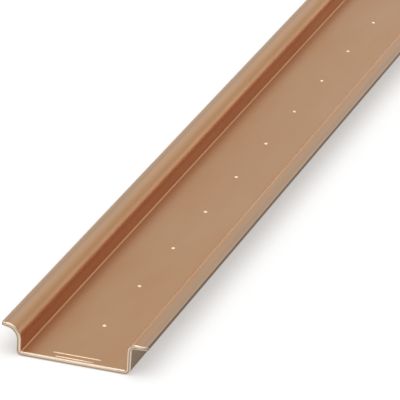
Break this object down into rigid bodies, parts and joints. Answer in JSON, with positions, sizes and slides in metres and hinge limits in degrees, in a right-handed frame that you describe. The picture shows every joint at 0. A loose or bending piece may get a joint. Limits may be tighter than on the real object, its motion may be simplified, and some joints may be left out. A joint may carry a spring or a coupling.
{
  "type": "din rail",
  "caption": "Unperforated top-hat mounting rail of bent sheet copper: a flat channel floor with small centred drill marks, two upright walls and two outward flanges.",
  "frame": {"origin": "centre of the floor's underside, halfway along the rail", "axes": "+Z from the underside towards the open top, +Y along the rail away from its front end, +X across the rail to the right"},
  "size_m": [0.035, 1, 0.0075],
  "materials": {
    "copper": "satin bare copper, as rolled"
  },
  "bodies": {
    "root": {"rail": "copper"}
  },
  "joints": []
}
